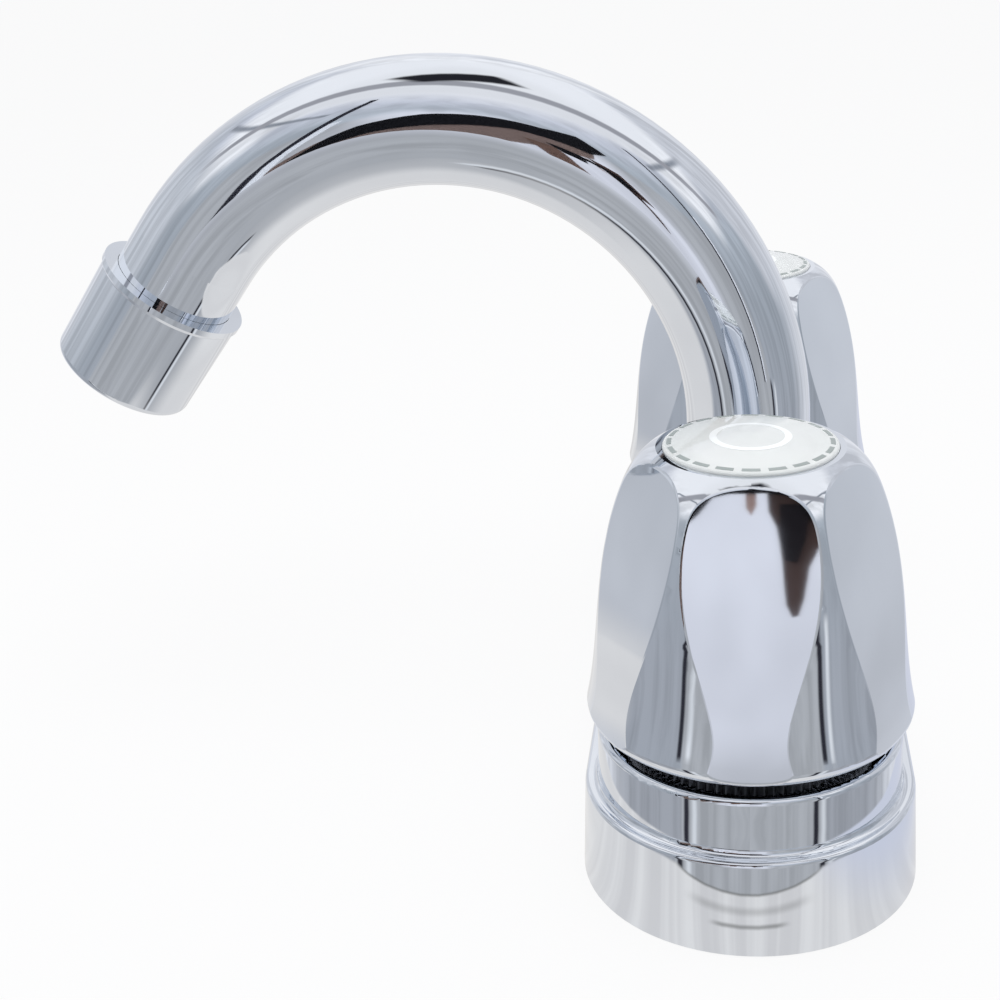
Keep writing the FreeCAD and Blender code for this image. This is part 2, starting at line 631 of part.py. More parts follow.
def handle_hollow():
    """Inside of the handle's shell, without the hub."""
    rim = HANDLE_WIDEST - HANDLE_EDGE - HANDLE_WALL
    roof = HANDLE_RIM + HANDLE_ROOF
    across, up = polar(FACET_CROWN, FACET_TAPER)
    down = HANDLE_TOP - roof
    facet_at_roof = FACET_DISTANCE - across + math.sqrt(FACET_CROWN ** 2 - (up - down) ** 2)
    roof_radius = facet_at_roof - HANDLE_WALL
    belly = HANDLE_WIDEST - HANDLE_WALL - HANDLE_EDGE / 2
    return turned((0, HANDLE_RIM - CUT), (rim, HANDLE_RIM - CUT), (rim, HANDLE_RIM),
                  (belly, HANDLE_RIM + HANDLE_EDGE), (roof_radius, roof), (0, roof))


def handle():
    solid = handle_blank().cut(facet_cutters()).Solids[0]
    solid = solid.makeFillet(FACET_ROUNDING, facet_edges(solid))
    roof = HANDLE_RIM + HANDLE_ROOF
    hub = cylinder(HUB_RADIUS, HUB_FOOT, roof + CUT)
    ribs = []
    for i in range(HUB_RIBS):
        rib = Part.makeBox(HANDLE_WIDEST, HUB_RIB_THICKNESS, HUB_RIB_DEPTH,
                           vec(0, -HUB_RIB_THICKNESS / 2, roof - HUB_RIB_DEPTH))
        ribs.append(turned_about_z(rib, 360 * (i + 0.5) / HUB_RIBS))
    hollow = handle_hollow().cut(fused([hub] + ribs))
    tips = SPLINE_RADIUS + THREAD_FIT
    socket = star(tips, tips - SPLINE_DEPTH, SPLINE_TEETH, HUB_FOOT - CUT, WEB_FOOT)
    screw_hole = cylinder(SCREW_RADIUS + SIDE_GAP, WEB_FOOT - CUT, WEB_TOP + CUT)
    pocket = cylinder(BUTTON_SKIRT_RADIUS + THREAD_FIT, WEB_TOP, HANDLE_TOP)
    seat = cylinder(BUTTON_RADIUS + THREAD_FIT, BUTTON_SEAT, HANDLE_TOP + CUT)
    for cutter in (hollow, socket, screw_hole, pocket, seat):
        solid = solid.cut(cutter)
    return solid


def index_button():
    """Clear cap on the handle, with a snap skirt, a small ring and a row of notches under its domed face."""
    low = BUTTON_SEAT + SEAT_GAP
    rim_top = HANDLE_TOP + BUTTON_RISE
    skirt_foot = low - BUTTON_SKIRT_DEPTH
    edge = BUTTON_EDGE
    bend = edge * (1 - math.sqrt(0.5))
    cap = turned((0, low), (BUTTON_RADIUS, low), (BUTTON_RADIUS, rim_top - edge),
                 ((BUTTON_RADIUS - bend, rim_top - bend), (BUTTON_RADIUS - edge, rim_top)),
                 dome(BUTTON_RADIUS - edge, rim_top, BUTTON_DOME))
    skirt = tube(BUTTON_SKIRT_RADIUS, BUTTON_SKIRT_RADIUS - BUTTON_SKIRT_WALL, skirt_foot, low + CUT)
    ring = tube(BUTTON_RING_RADIUS, BUTTON_RING_RADIUS - BUTTON_RING_WALL, low - BUTTON_RING_DEPTH, low + CUT)
    notch_top = low + BUTTON_NOTCH_DEPTH
    notch = sector(BUTTON_NOTCH_INNER, BUTTON_NOTCH_OUTER, BUTTON_NOTCH_ANGLE, low - CUT, notch_top)
    notches = [turned_about_z(notch, 360 * i / BUTTON_NOTCHES) for i in range(BUTTON_NOTCHES)]
    return fused([cap, skirt, ring]).cut(Part.makeCompound(notches))


def handle_screw():
    head = cylinder(SCREW_HEAD_RADIUS, WEB_TOP, WEB_TOP + SCREW_HEAD_HEIGHT)
    shank = cylinder(SCREW_RADIUS, WEB_TOP - SCREW_LENGTH, WEB_TOP + CUT)
    slot = Part.makeBox(3 * SCREW_HEAD_RADIUS, SCREW_SLOT, SCREW_HEAD_HEIGHT,
                        vec(-1.5 * SCREW_HEAD_RADIUS, -SCREW_SLOT / 2, WEB_TOP + SCREW_HEAD_HEIGHT / 2))
    return fused([head, shank]).cut(fused([slot, turned_about_z(slot, 90)]))


# Spout

def spout_path():
    """Centreline: upright leg, one bend over the basin, straight end."""
    centre = vec(0, -BEND_RADIUS, BEND_HEIGHT)

    def on_bend(degrees):
        across, up = polar(BEND_RADIUS, degrees)
        return centre + vec(0, across, up)

    start = vec(0, 0, TUBE_FOOT)
    bend = [on_bend(0), on_bend(BEND_ANGLE / 2), on_bend(BEND_ANGLE)]
    edges = [Part.makeLine(start, bend[0]), Part.Arc(*bend).toShape()]
    edges.append(Part.makeLine(bend[2], bend[2] + outlet_direction() * (TUBE_RUN + TUBE_TIP)))
    return Part.Wire(edges)


def outlet_direction():
    across, up = polar(1.0, BEND_ANGLE + 90)
    return vec(0, across, up)


def at_outlet(shape):
    """Place a piece that is modelled along +Z from the top of the aerator housing."""
    across, up = polar(BEND_RADIUS, BEND_ANGLE)
    bend_end = vec(0, across - BEND_RADIUS, up + BEND_HEIGHT)
    copy = shape.copy()
    turn = FreeCAD.Rotation(UP, outlet_direction())
    copy.Placement = FreeCAD.Placement(bend_end + outlet_direction() * TUBE_RUN, turn)
    return copy


def swept_round(path, radius):
    start = Part.Wire(Part.makeCircle(radius, vec(0, 0, TUBE_FOOT), UP))
    return path.makePipeShell([start], True, False)


def spout_tube():
    path = spout_path()
    return swept_round(path, TUBE_RADIUS).cut(swept_round(path, TUBE_RADIUS - TUBE_WALL))


def spout_ring_heights():
    return [NIPPLE_TOP - drop for drop in SPOUT_RING_HEIGHTS]


def spout_foot():
    """Turned end soldered in the tube, it turns in the nipple."""
    barrel = cylinder(FOOT_RADIUS, NIPPLE_TOP - FOOT_DEPTH, FLANGE_FOOT + CUT)
    flange = cylinder(FOOT_FLANGE_RADIUS, FLANGE_FOOT, TUBE_FOOT)
    spigot = cylinder(TUBE_RADIUS - TUBE_WALL - THREAD_FIT, TUBE_FOOT - CUT, TUBE_FOOT + FOOT_SPIGOT)
    solid = fused([barrel, flange, spigot])
    cuts = [groove_cutter(FOOT_RADIUS, SPOUT_RING_SECTION, z) for z in spout_ring_heights()]
    cuts.append(cylinder(FOOT_BORE, NIPPLE_TOP - FOOT_DEPTH - CUT, TUBE_FOOT + FOOT_SPIGOT + CUT))
    return solid.cut(Part.makeCompound(cuts))


def spout_rings():
    radius = FOOT_RADIUS - SPOUT_RING_SECTION
    return [ring_seal(radius, SPOUT_RING_SECTION, z) for z in spout_ring_heights()]


def slip_ring():
    return tube(NIPPLE_RADIUS, TUBE_RADIUS + SIDE_GAP, TUBE_FOOT + SEAT_GAP, NUT_SHOULDER)


def spout_nut():
    """Domed cap nut that holds the spout's flange down and lets it turn."""
    low = NIPPLE_TOP - SPOUT_NUT_SKIRT
    top = NUT_SHOULDER + SPOUT_NUT_LIP
    inner = TUBE_RADIUS + SIDE_GAP
    brow = (SPOUT_NUT_RADIUS + inner) / 2
    nut = turned((0, low), (SPOUT_NUT_RADIUS, low), (SPOUT_NUT_RADIUS, NUT_SHOULDER - SPOUT_NUT_LIP),
                 ((brow + SPOUT_NUT_BROW, top - SPOUT_NUT_BROW), (inner + SPOUT_NUT_LAND, top)), (0, top))
    thread = cylinder(NIPPLE_RADIUS + THREAD_FIT, low - CUT, NUT_SHOULDER)
    return nut.cut(thread.fuse(cylinder(inner, NUT_SHOULDER - CUT, top + CUT)))


# Aerator, modelled along the outlet's axis with the top of its housing at zero

def aerator_housing():
    end = HOUSING_LENGTH
    edge = HOUSING_EDGE
    bend = edge * (1 - math.sqrt(0.5))
    lip = HOUSING_LIP
    outside = turned((0, 0), (HOUSING_LIP_RADIUS, 0), (HOUSING_LIP_RADIUS, lip),
                     (HOUSING_TOP_RADIUS, lip + HOUSING_LIP_SLOPE), (HOUSING_END_RADIUS, end - edge),
                     ((HOUSING_END_RADIUS - bend, end - bend), (HOUSING_END_RADIUS - edge, end)), (0, end))
    bore = cylinder(TUBE_RADIUS + THREAD_FIT, -CUT, end - HOUSING_FLANGE)
    mouth = cylinder(HOUSING_MOUTH, end - HOUSING_FLANGE - CUT, end + CUT)
    return outside.cut(bore.fuse(mouth))


def aerator_washer():
    return tube(TUBE_RADIUS - THREAD_FIT, WASHER_BORE, TUBE_TIP, TUBE_TIP + AERATOR_WASHER)


def aerator_insert():
    """Plastic cup with a cross-vaned mouth."""
    low = TUBE_TIP + AERATOR_WASHER
    high = HOUSING_LENGTH - HOUSING_FLANGE - SCREEN_THICKNESS
    inner = INSERT_RADIUS - INSERT_WALL
    cup = tube(INSERT_RADIUS, inner, low, high)
    plate = cylinder(INSERT_RADIUS, low, low + INSERT_WALL)
    hole = moved(cylinder(INSERT_HOLE_RADIUS, low - CUT, low + INSERT_WALL + CUT), INSERT_RADIUS / 2)
    holes = [turned_about_z(hole, 360 * (i + 0.5) / INSERT_HOLES) for i in range(INSERT_HOLES)]
    vane_foot = low + INSERT_WALL / 2
    vane = Part.makeBox(2 * inner + INSERT_WALL, VANE_THICKNESS, high - vane_foot,
                        vec(-inner - INSERT_WALL / 2, -VANE_THICKNESS / 2, vane_foot))
    return fused([cup, plate.cut(fused(holes)), vane, turned_about_z(vane, 90)])


def aerator_screen():
    """Perforated disc that shows in the aerator's mouth."""
    low = HOUSING_LENGTH - HOUSING_FLANGE - SCREEN_THICKNESS
    disc = cylinder(INSERT_RADIUS, low, low + SCREEN_THICKNESS)
    hole = cylinder(SCREEN_HOLE_RADIUS, low - CUT, low + CUT)
    holes = []
    for ring in range(1, SCREEN_RINGS + 1):
        count = 6 * ring
        for i in range(count):
            holes.append(turned_about_z(moved(hole, ring * SCREEN_PITCH), 360 * i / count))
    return disc.cut(Part.makeCompound(holes))


# Nodes

def sided(name, shape):
    """One node for the hot side and one for the cold side."""
    hot, cold = both(shape)
    return {name + "_hot": [hot], name + "_cold": [cold]}


def pieces():
    nodes = {
        "waterway_body": [waterway_body()],
        "deck_cover": [deck_cover()],
        "base_gasket": [base_gasket()],
        "cover_nuts": both(cover_nut()),
        "mounting_washers": both(mounting_washer()),
        "mounting_nuts": both(mounting_nut()),
        "cartridge_gaskets": both(cartridge_gasket()),
        "spout_nut": [spout_nut()],
        "slip_ring": [slip_ring()],
        "spout_tube": [spout_tube()],
        "spout_foot": [spout_foot()],
        "spout_o_rings": spout_rings(),
        "aerator_housing": [at_outlet(aerator_housing())],
        "aerator_washer": [at_outlet(aerator_washer())],
        "aerator_insert": [at_outlet(aerator_insert())],
        "aerator_screen": [at_outlet(aerator_screen())],
    }
    nodes.update(sided("inlet_shank", inlet_shank()))
    nodes.update(sided("cartridge_body", cartridge_body()))
    nodes.update(sided("fixed_disc", ceramic_disc(FIXED_DISC_FOOT, 90)))
    nodes.update(sided("seat_seal", seat_seal()))
    nodes.update(sided("moving_disc", moving_disc()))
    nodes.update(sided("spindle", spindle()))
    nodes.update(sided("retaining_clip", retaining_clip()))
    nodes.update(sided("handle", handle()))
    nodes.update(sided("index_button", index_button()))
    nodes.update(sided("handle_screw", handle_screw()))
    hot_rings, cold_rings = zip(*[both(ring) for ring in spindle_rings()])
    nodes["spindle_o_rings_hot"] = list(hot_rings)
    nodes["spindle_o_rings_cold"] = list(cold_rings)
    return nodes


def main():
    os.makedirs("parts", exist_ok=True)
    for name, shapes in pieces().items():
        solids = [solid for shape in shapes for solid in shape.Solids]
        whole = solids[0] if len(solids) == 1 else Part.makeCompound(solids)
        if not whole.isValid():
            print("not valid:", name)
        if len(solids) != len(shapes):
            print("solids in", name, len(solids))
        whole.exportStep("parts/" + name + ".step")


main()
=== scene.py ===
import json
import math

import bpy
from mathutils import Matrix, Vector


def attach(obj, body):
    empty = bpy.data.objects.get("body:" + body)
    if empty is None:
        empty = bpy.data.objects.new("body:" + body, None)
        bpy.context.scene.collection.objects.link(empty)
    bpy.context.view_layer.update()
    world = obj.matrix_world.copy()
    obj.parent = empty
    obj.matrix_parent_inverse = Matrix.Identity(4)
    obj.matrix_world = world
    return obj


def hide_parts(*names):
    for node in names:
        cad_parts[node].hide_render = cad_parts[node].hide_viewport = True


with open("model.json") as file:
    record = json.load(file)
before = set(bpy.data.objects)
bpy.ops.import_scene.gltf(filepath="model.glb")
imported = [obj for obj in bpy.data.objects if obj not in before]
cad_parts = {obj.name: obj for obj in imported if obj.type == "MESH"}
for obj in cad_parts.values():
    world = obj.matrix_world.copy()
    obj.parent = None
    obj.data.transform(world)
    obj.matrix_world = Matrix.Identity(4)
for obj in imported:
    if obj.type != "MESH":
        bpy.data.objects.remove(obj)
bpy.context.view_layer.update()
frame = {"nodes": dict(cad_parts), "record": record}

# The photograph's camera, in metres, degrees and pixels of a 1000 pixel wide frame.
CAMERA_PLACE = (0.26365, -0.00181, 0.14187)
CAMERA_YAW = 6.59
CAMERA_PITCH = 21.20
CAMERA_ROLL = -2.26
FOCAL_PIXELS = 1658.9
AXIS_PIXEL = (558.5, 489.1)
FRAME_PIXELS = 1000
SENSOR_WIDTH = 36.0
CLIP_START = 0.01


# Node trees

MIX_COLOUR_SOCKETS = (6, 7)
NOISE_DETAIL = 3.0
TONE_STOPS = (0.3, 0.7)


class Tree:
    """Short spelling for building a shader tree."""

    def __init__(self, tree):
        self.tree = tree
        tree.nodes.clear()

    def node(self, kind, inputs=None, **settings):
        made = self.tree.nodes.new(kind)
        for name, value in settings.items():
            setattr(made, name, value)
        for name, value in (inputs or {}).items():
            self.feed(made.inputs[name], value)
        return made

    def feed(self, socket, value):
        if isinstance(value, bpy.types.NodeSocket):
            self.tree.links.new(value, socket)
        else:
            socket.default_value = value

    def math(self, operation, *values):
        made = self.node("ShaderNodeMath", operation=operation)
        for socket, value in zip(made.inputs, values):
            self.feed(socket, value)
        return made.outputs[0]

    def dot(self, vector, direction):
        made = self.node("ShaderNodeVectorMath", {0: vector, 1: direction},
                         operation="DOT_PRODUCT")
        return made.outputs["Value"]

    def mix(self, factor, first, second):
        made = self.node("ShaderNodeMix", data_type="RGBA")
        self.feed(made.inputs[0], factor)
        for place, colour in zip(MIX_COLOUR_SOCKETS, (first, second)):
            self.feed(made.inputs[place], colour)
        return made.outputs[2]

    def shade(self, colour, amount):
        made = self.node("ShaderNodeVectorMath", {0: colour, "Scale": amount}, operation="SCALE")
        return made.outputs["Vector"]

    def ramp(self, factor, *stops):
        made = self.node("ShaderNodeValToRGB", {"Fac": factor})
        elements = made.color_ramp.elements
        while len(elements) < len(stops):
            elements.new(0.5)
        for element, (place, colour) in zip(elements, stops):
            element.position = place
            element.color = colour
        return made.outputs["Color"]

    def span(self, factor, low, high):
        """Takes a factor of 0 to 1 to the range from low to high."""
        made = self.node("ShaderNodeMapRange", {"Value": factor, "To Min": low, "To Max": high})
        return made.outputs["Result"]

    def step(self, value, edge, soft):
        """Rises from 0 to 1 over the soft width on each side of an edge."""
        made = self.node("ShaderNodeMapRange",
                         {"Value": value, "From Min": edge - soft, "From Max": edge + soft},
                         interpolation_type="SMOOTHSTEP")
        return made.outputs["Result"]

    def below(self, value, edge, soft):
        """Falls from 1 to 0 over the soft width on each side of an edge."""
        return self.math("SUBTRACT", 1.0, self.step(value, edge, soft))

    def apart(self, value, centre):
        """How far a value is from a centre."""
        return self.math("ABSOLUTE", self.math("SUBTRACT", value, centre))

    def noise(self, scale, stretch):
        place = self.node("ShaderNodeTexCoord").outputs["Object"]
        scaled = self.node("ShaderNodeMapping", {"Vector": place, "Scale": stretch})
        made = self.node("ShaderNodeTexNoise", {"Vector": scaled.outputs["Vector"],
                                                "Scale": scale, "Detail": NOISE_DETAIL})
        return made.outputs["Fac"]


def opaque(tone):
    return tone + (1,)


def surface(name, dark, light, rough, metallic=0.0, grain=400, stretch=(1, 1, 1), bump=0.05,
            bump_depth=0.00002, bump_scale=900, extra=None):
    """Principled material whose colour, roughness and height vary with solid noise."""
    material = bpy.data.materials.new(name)
    material.use_nodes = True
    tree = Tree(material.node_tree)
    tone = tree.noise(grain, stretch)
    colour = tree.ramp(tone, *zip(TONE_STOPS, (opaque(dark), opaque(light))))
    relief = tree.node("ShaderNodeBump", {"Height": tree.noise(bump_scale, stretch),
                                          "Strength": bump, "Distance": bump_depth})
    inputs = {"Base Color": colour, "Roughness": tree.span(tone, *rough), "Metallic": metallic,
              "Normal": relief.outputs["Normal"]}
    inputs.update(extra or {})
    shader = tree.node("ShaderNodeBsdfPrincipled", inputs)
    tree.node("ShaderNodeOutputMaterial", {"Surface": shader.outputs[0]})
    return material


# One look for each material slot of the record.
LOOKS = {
    "chrome": dict(
        dark=(0.78, 0.815, 0.865), light=(0.82, 0.855, 0.905), rough=(0.015, 0.05), metallic=1.0,
        grain=60, bump=0.02, bump_depth=0.0002, bump_scale=60),
    "clear_acrylic": dict(
        dark=(0.94, 0.975, 0.955), light=(0.97, 0.99, 0.98), rough=(0.02, 0.06), grain=120,
        bump_depth=0.0001, bump_scale=120, extra={"Transmission Weight": 0.25, "IOR": 1.49}),
    "brass": dict(
        dark=(0.66, 0.48, 0.20), light=(0.78, 0.60, 0.30), rough=(0.22, 0.42), metallic=1.0,
        grain=250, bump=0.3),
    "dull_nickel": dict(
        dark=(0.16, 0.16, 0.17), light=(0.30, 0.30, 0.31), rough=(0.30, 0.50), metallic=1.0,
        bump=0.2),
    "rubber": dict(
        dark=(0.015, 0.015, 0.016), light=(0.035, 0.035, 0.036), rough=(0.55, 0.75), bump=0.3),
    "ceramic": dict(
        dark=(0.84, 0.83, 0.79), light=(0.90, 0.89, 0.86), rough=(0.15, 0.28), bump=0.1),
    "steel": dict(
        dark=(0.50, 0.50, 0.51), light=(0.62, 0.62, 0.63), rough=(0.18, 0.34), metallic=1.0,
        stretch=(1, 1, 8)),
    "nylon": dict(
        dark=(0.78, 0.77, 0.73), light=(0.86, 0.85, 0.82), rough=(0.38, 0.52), bump=0.25,
        extra={"Subsurface Weight": 0.1, "Subsurface Scale": 0.002}),
}

# The ring and the dashes on each button. The ring is real, and its pale tone is a painted
# highlight of the glints it catches; the dashes' grey is painted shade of notches.
RING_GLINT_LOOK = dict(dark=(0.90, 0.93, 0.93), light=(0.94, 0.96, 0.96), rough=(0.1, 0.2), grain=150)
DASH_SHADE_LOOK = dict(dark=(0.28, 0.32, 0.31), light=(0.38, 0.42, 0.41), rough=(0.2, 0.4), grain=150)


def dress_nodes(finish):
    for part in frame["record"]["subparts"]:
        slots = frame["nodes"][part["node"]].data.materials
        slots.clear()
        slots.append(finish[part["material_slot"]])


# Fine relief, with the sizes of the CAD in millimetres. The shanks and nuts stand for plainer
# solids, and the marks lie on the buttons.

MM = 0.001
SHARP_DEGREES = 35
VALVE_X = 50.8
SIDES = (("hot", -VALVE_X), ("cold", VALVE_X))

SHANK_RADIUS = 10.45
SHANK_BORE = 7.0
SHANK_END = -46.0
SHANK_COLUMNS = 72
RELIEF_GROOVE = (-35.6, -34.4)
THREAD_END = -1.0
THREAD_PITCH = 1.814
THREAD_DEPTH = 0.5
THREAD_STEPS = 8
CASTING_FOOT = 2.8
SPIGOT_RADIUS = 8.05
SPIGOT_TOP = 4.0

NUT_FOOT = 20.8
NUT_TOP = 26.4
NUT_RADIUS = 17.6
NUT_ROOT = 16.85
NUT_BORE = 14.05
NUT_GROOVE = (23.1, 24.1)
NUT_CHAMFER = 0.3
NUT_TEETH = 84
TOOTH_COLUMNS = 4

BUTTON_RIM = 65.7
BUTTON_RIM_RADIUS = 11.5
BUTTON_DOME = 1.0
MARK_RISE = 0.04
MARK_DEPTH = 0.3
RING_RADII = (4.6, 5.6)
RING_COLUMNS = 96
DASHES = 20
DASH_RADII = (10.75, 11.4)
DASH_DEGREES = 12.5
DASH_STEPS = 6


def piece(name, body, slot, finish, points, faces):
    mesh = bpy.data.meshes.new(name)
    mesh.from_pydata([(x * MM, y * MM, z * MM) for x, y, z in points], [], faces)
    mesh.shade_smooth()
    mesh.set_sharp_from_angle(angle=math.radians(SHARP_DEGREES))
    mesh.materials.append(finish)
    made = bpy.data.objects.new(name, mesh)
    bpy.context.collection.objects.link(made)
    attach(made, body)
    return made


def lathe(centre, rings, columns):
    """Points and faces of a ring-shaped solid, whose last ring joins the first.

    Each ring is a height with a radius, or with a function that gives the radius at an angle.
    """
    points = []
    for height, radius in rings:
        for i in range(columns):
            angle = math.tau * i / columns
            reach = radius(angle) if callable(radius) else radius
            points.append((centre + reach * math.cos(angle), reach * math.sin(angle), height))
    faces = []
    for k in range(len(rings)):
        low = k * columns
        high = (k + 1) % len(rings) * columns
        for i in range(columns):
            j = (i + 1) % columns
            faces.append((low + i, low + j, high + j, high + i))
    return points, faces


def ridge(turns):
    """Height of a row of vee ridges, from 0 in a root to 1 on a crest."""
    return 1 - abs(2 * (turns % 1) - 1)


def shank_radius(height):
    low, high = RELIEF_GROOVE
    chamfer = SHANK_RADIUS - THREAD_DEPTH + height - SHANK_END

    def at(angle):
        crest = ridge(height / THREAD_PITCH - angle / math.tau)
        if low < height < high:
            crest = 0
        return min(SHANK_RADIUS - THREAD_DEPTH * (1 - crest), chamfer)
    return at


def shanks(finish):
    """Threaded inlet shanks, with the spigot that goes into the casting."""
    step = THREAD_PITCH / THREAD_STEPS
    count = int((THREAD_END - SHANK_END) / step)
    heights = [SHANK_END + step * i for i in range(count)]
    rings = [(height, shank_radius(height)) for height in heights]
    rings += [(THREAD_END, SHANK_RADIUS), (CASTING_FOOT, SHANK_RADIUS),
              (CASTING_FOOT, SPIGOT_RADIUS), (SPIGOT_TOP, SPIGOT_RADIUS),
              (SPIGOT_TOP, SHANK_BORE), (SHANK_END, SHANK_BORE)]
    for side, centre in SIDES:
        made = piece("threaded_shank_" + side, "tap_body", "brass", finish["brass"],
                     *lathe(centre, rings, SHANK_COLUMNS))
        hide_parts("inlet_shank_" + side)


def toothed(angle):
    return NUT_ROOT + (NUT_RADIUS - NUT_ROOT) * ridge(NUT_TEETH * angle / math.tau)


def toothed_nuts(finish):
    """Cover nuts with teeth in two rows, above and below a groove."""
    low, high = NUT_GROOVE
    rings = [(NUT_FOOT, NUT_ROOT), (NUT_FOOT + NUT_CHAMFER, toothed), (low, toothed),
             (low, NUT_ROOT), (high, NUT_ROOT), (high, toothed),
             (NUT_TOP - NUT_CHAMFER, toothed), (NUT_TOP, NUT_ROOT), (NUT_TOP, NUT_BORE),
             (NUT_FOOT, NUT_BORE)]
    for side, centre in SIDES:
        made = piece("toothed_nut_" + side, "tap_body", "dull_nickel", finish["dull_nickel"],
                     *lathe(centre, rings, TOOTH_COLUMNS * NUT_TEETH))
        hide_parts("cover_nuts")


def dome_height(reach):
    return BUTTON_RIM + BUTTON_DOME * (1 - (reach / BUTTON_RIM_RADIUS) ** 2)


def dashes(centre):
    """Points and faces of the short raised arcs near the rim of a button."""
    inner, outer = DASH_RADII
    section = [(inner, -MARK_DEPTH), (outer, -MARK_DEPTH), (outer, MARK_RISE), (inner, MARK_RISE)]
    corners = len(section)
    points = []
    faces = []
    for n in range(DASHES):
        first = len(points)
        for i in range(DASH_STEPS + 1):
            angle = math.radians(360 * n / DASHES + DASH_DEGREES * (i / DASH_STEPS - 0.5))
            for reach, lift in section:
                points.append((centre + reach * math.cos(angle), reach * math.sin(angle),
                               dome_height(reach) + lift))
        for i in range(DASH_STEPS):
            a = first + corners * i
            for k in range(corners):
                m = (k + 1) % corners
                faces.append((a + k, a + corners + k, a + corners + m, a + m))
        end = first + corners * DASH_STEPS
        faces.append(tuple(first + k for k in range(corners)))
        faces.append(tuple(end + k for k in reversed(range(corners))))
    return points, faces


def button_ring_and_dashes():
    """A ring and a circle of dashes on top of each clear button: the ring's pale tone is a painted
    highlight of its glints, and the dashes' grey is painted shade.
    """
    inner, outer = RING_RADII
    ring = [(dome_height(reach) + lift, reach) for reach, lift in
            ((outer, -MARK_DEPTH), (outer, MARK_RISE), (inner, MARK_RISE), (inner, -MARK_DEPTH))]
    # The ring's pale tone is a painted highlight of the glints on the real ring.
    glint_paint = surface("ring_painted_glints", **RING_GLINT_LOOK)
    # The dashes' grey is painted shade of the notches they cover.
    shade_paint = surface("dashes_painted_shade", **DASH_SHADE_LOOK)
    for side, centre in SIDES:
        body = side + "_handle"
        piece("button_ring_" + side, body, "nylon", glint_paint, *lathe(centre, ring, RING_COLUMNS))
        piece("button_dashes_" + side, body, "nylon", shade_paint, *dashes(centre))


# Studio

# Tones of the light tent from straight down to straight up, by height on a unit ball.
SKY_TONES = [
    (0.0, (0.56, 0.56, 0.57)), (0.08, (0.44, 0.45, 0.47)), (0.18, (0.40, 0.41, 0.44)),
    (0.36, (0.39, 0.41, 0.45)), (0.56, (0.39, 0.42, 0.46)), (0.70, (0.48, 0.52, 0.57)),
    (0.82, (0.64, 0.66, 0.73)), (0.91, (0.90, 0.90, 0.93)), (1.0, (0.92, 0.92, 0.93)),
]

# What surrounds the object, far off, in degrees. Azimuth 0 is +X and 90 is +Y.
PANELS = [
    # name, azimuth, elevation, half width, half height, softness, colour
    ("pale back wall", 180, -10, 62, 50, 24, (0.80, 0.81, 0.85)),
    ("left wall", -130, 58, 60, 14, 7, (0.98, 0.98, 1.0)),
    ("right wall", 130, 58, 60, 14, 7, (0.98, 0.98, 1.0)),
    ("mouth of the tent", 2, -20, 46, 40, 2, (0.46, 0.47, 0.49)),
    ("front cloth", -2, 4, 15, 20, 6, (0.78, 0.79, 0.86)),
    ("front roof", 0, 62, 50, 7, 4, (0.85, 0.85, 0.87)),
    ("left seam", -75, 44, 34, 1.0, 0.8, (0.30, 0.32, 0.36)),
    ("right seam", 85, 44, 30, 1.0, 0.8, (0.30, 0.32, 0.36)),
    ("left seam of the floor", -47, -38, 1.7, 28, 1.0, (0.03, 0.03, 0.04)),
    ("right seam of the floor", 50, -38, 1.7, 28, 1.0, (0.03, 0.03, 0.04)),
    ("left light seam", -41, -38, 1.6, 28, 1.5, (0.80, 0.82, 0.85)),
    ("right light seam", 56, -38, 1.6, 28, 1.5, (0.80, 0.82, 0.85)),
    ("gap in the roof", 0, 75, 60, 5, 2, (0.38, 0.38, 0.41)),
    ("right back wall", 130, 26, 28, 18, 6, (0.68, 0.69, 0.73)),
    ("left side wall", -96, 20, 30, 12, 10, (0.64, 0.66, 0.70)),
    ("hole in the roof", -60, 87, 7, 13, 2, (0.02, 0.02, 0.025)),
]

# Only a ray that faces a panel sees it, past this cosine.
FACING = 0.01

# Faint folds in the cloth of the tent, left out near straight up and straight down.
FOLD_SCALE = 9.0
FOLD_STRETCH = (1, 1, 0.15)
FOLD_EDGE = (0.5, 0.16)
FOLD_SHADES = (0.86, 1.08)
FOLD_LIMIT = (0.72, 0.1)

# Colours of the cards.
BLACK_FELT = (0.012, 0.012, 0.014)
BLACK_POLE = (0.03, 0.03, 0.04)
WHITE_STRIP = (0.95, 0.97, 1.0)

